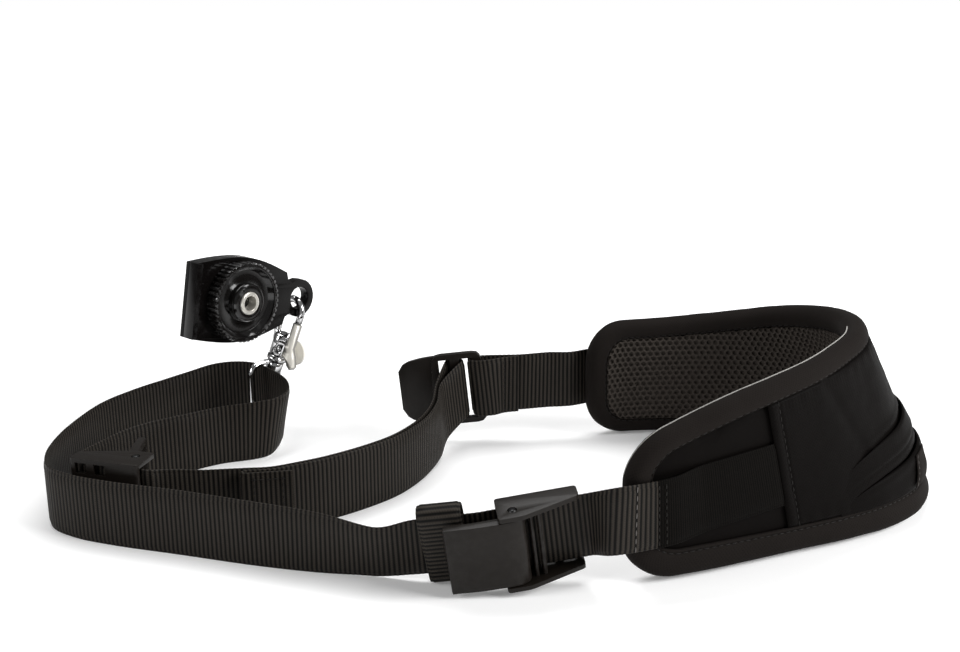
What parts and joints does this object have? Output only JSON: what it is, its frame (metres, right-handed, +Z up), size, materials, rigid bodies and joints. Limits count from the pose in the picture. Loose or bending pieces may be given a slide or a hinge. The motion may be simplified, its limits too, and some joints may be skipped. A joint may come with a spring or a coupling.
{
  "type": "camera shoulder sling",
  "caption": "Padded shoulder sling on edge: one webbing band through cam-lock bumpers, a keeper and a ladder lock, with a trigger snap in a ring that holds a camera plate with a thumb wheel.",
  "frame": {"origin": "on the floor under the middle of the box", "axes": "+X along the sling to the pad's bend, +Y away from the viewer, +Z up; the webbing stands on edge"},
  "size_m": [0.3448, 0.173, 0.0859],
  "materials": {
    "webbing": "black ribbed polypropylene webbing",
    "pad_mesh": "black spacer mesh",
    "pad_fabric": "matte black nylon",
    "pin_steel": "plain steel pin",
    "black_plastic": "satin black",
    "chrome": "polished plate",
    "rubber": "matte black",
    "bush_steel": "plain turned steel",
    "black_metal": "gloss black"
  },
  "bodies": {
    "sling": {"front_bumper_frame": "black_plastic", "front_bumper_pin": "pin_steel", "keeper_loop": "webbing", "ladder_lock": "black_plastic", "main_strap": "webbing", "pad_corner_panel": "pad_fabric", "pad_cushion": "pad_fabric", "pad_diagonal_band": "pad_fabric", "pad_edge_binding": "pad_fabric", "pad_mesh_lining": "pad_mesh", "pad_outer_panel": "pad_fabric", "rear_webbing": "webbing", "side_bumper_frame": "black_plastic", "side_bumper_pin": "pin_steel", "strap_ring": "chrome"},
    "front_lever": {"front_bumper_lever": "black_plastic"},
    "side_lever": {"side_bumper_lever": "black_plastic"},
    "snap": {"snap_body": "chrome", "snap_rivet": "chrome", "swivel_post": "chrome"},
    "gate": {"snap_gate": "chrome"},
    "plate": {"camera_plate": "black_metal", "plate_rubber": "rubber"},
    "wheel": {"plate_wheel": "black_metal", "threaded_bush": "bush_steel"}
  },
  "joints": [
    {"name": "front_lever_hinge", "type": "hinge", "parent": "sling", "child": "front_lever", "pos_m": [0.00628, -0.07931, 0.01815], "axis": [0.1225, 0.1528, -0.9806], "range_deg": [-112, 0]},
    {"name": "side_lever_hinge", "type": "hinge", "parent": "sling", "child": "side_lever", "pos_m": [-0.13282, -0.03045, 0.01521], "axis": [0, 0, -1], "range_deg": [0, 94]},
    {"name": "snap_swivel", "type": "hinge", "parent": "sling", "child": "snap", "pos_m": [-0.09773, 0.07815, 0.02931], "axis": [0.342, 0, 0.9397], "continuous": true},
    {"name": "gate_hinge", "type": "hinge", "parent": "snap", "child": "gate", "pos_m": [-0.09345, 0.07668, 0.03626], "axis": [-0.6259, -0.7459, 0.2278], "range_deg": [0, 20], "stiffness_Nm_per_rad": 0.01, "springref_deg": -20.05},
    {"name": "plate_swing", "type": "hinge", "parent": "snap", "child": "plate", "pos_m": [-0.08713, 0.07815, 0.05844], "axis": [0.7009, -0.6661, -0.2551], "range_deg": [-22, 22]},
    {"name": "wheel_spin", "type": "hinge", "parent": "plate", "child": "wheel", "pos_m": [-0.10922, 0.05275, 0.0661], "axis": [0.766, -0.6428, 0], "continuous": true}
  ]
}
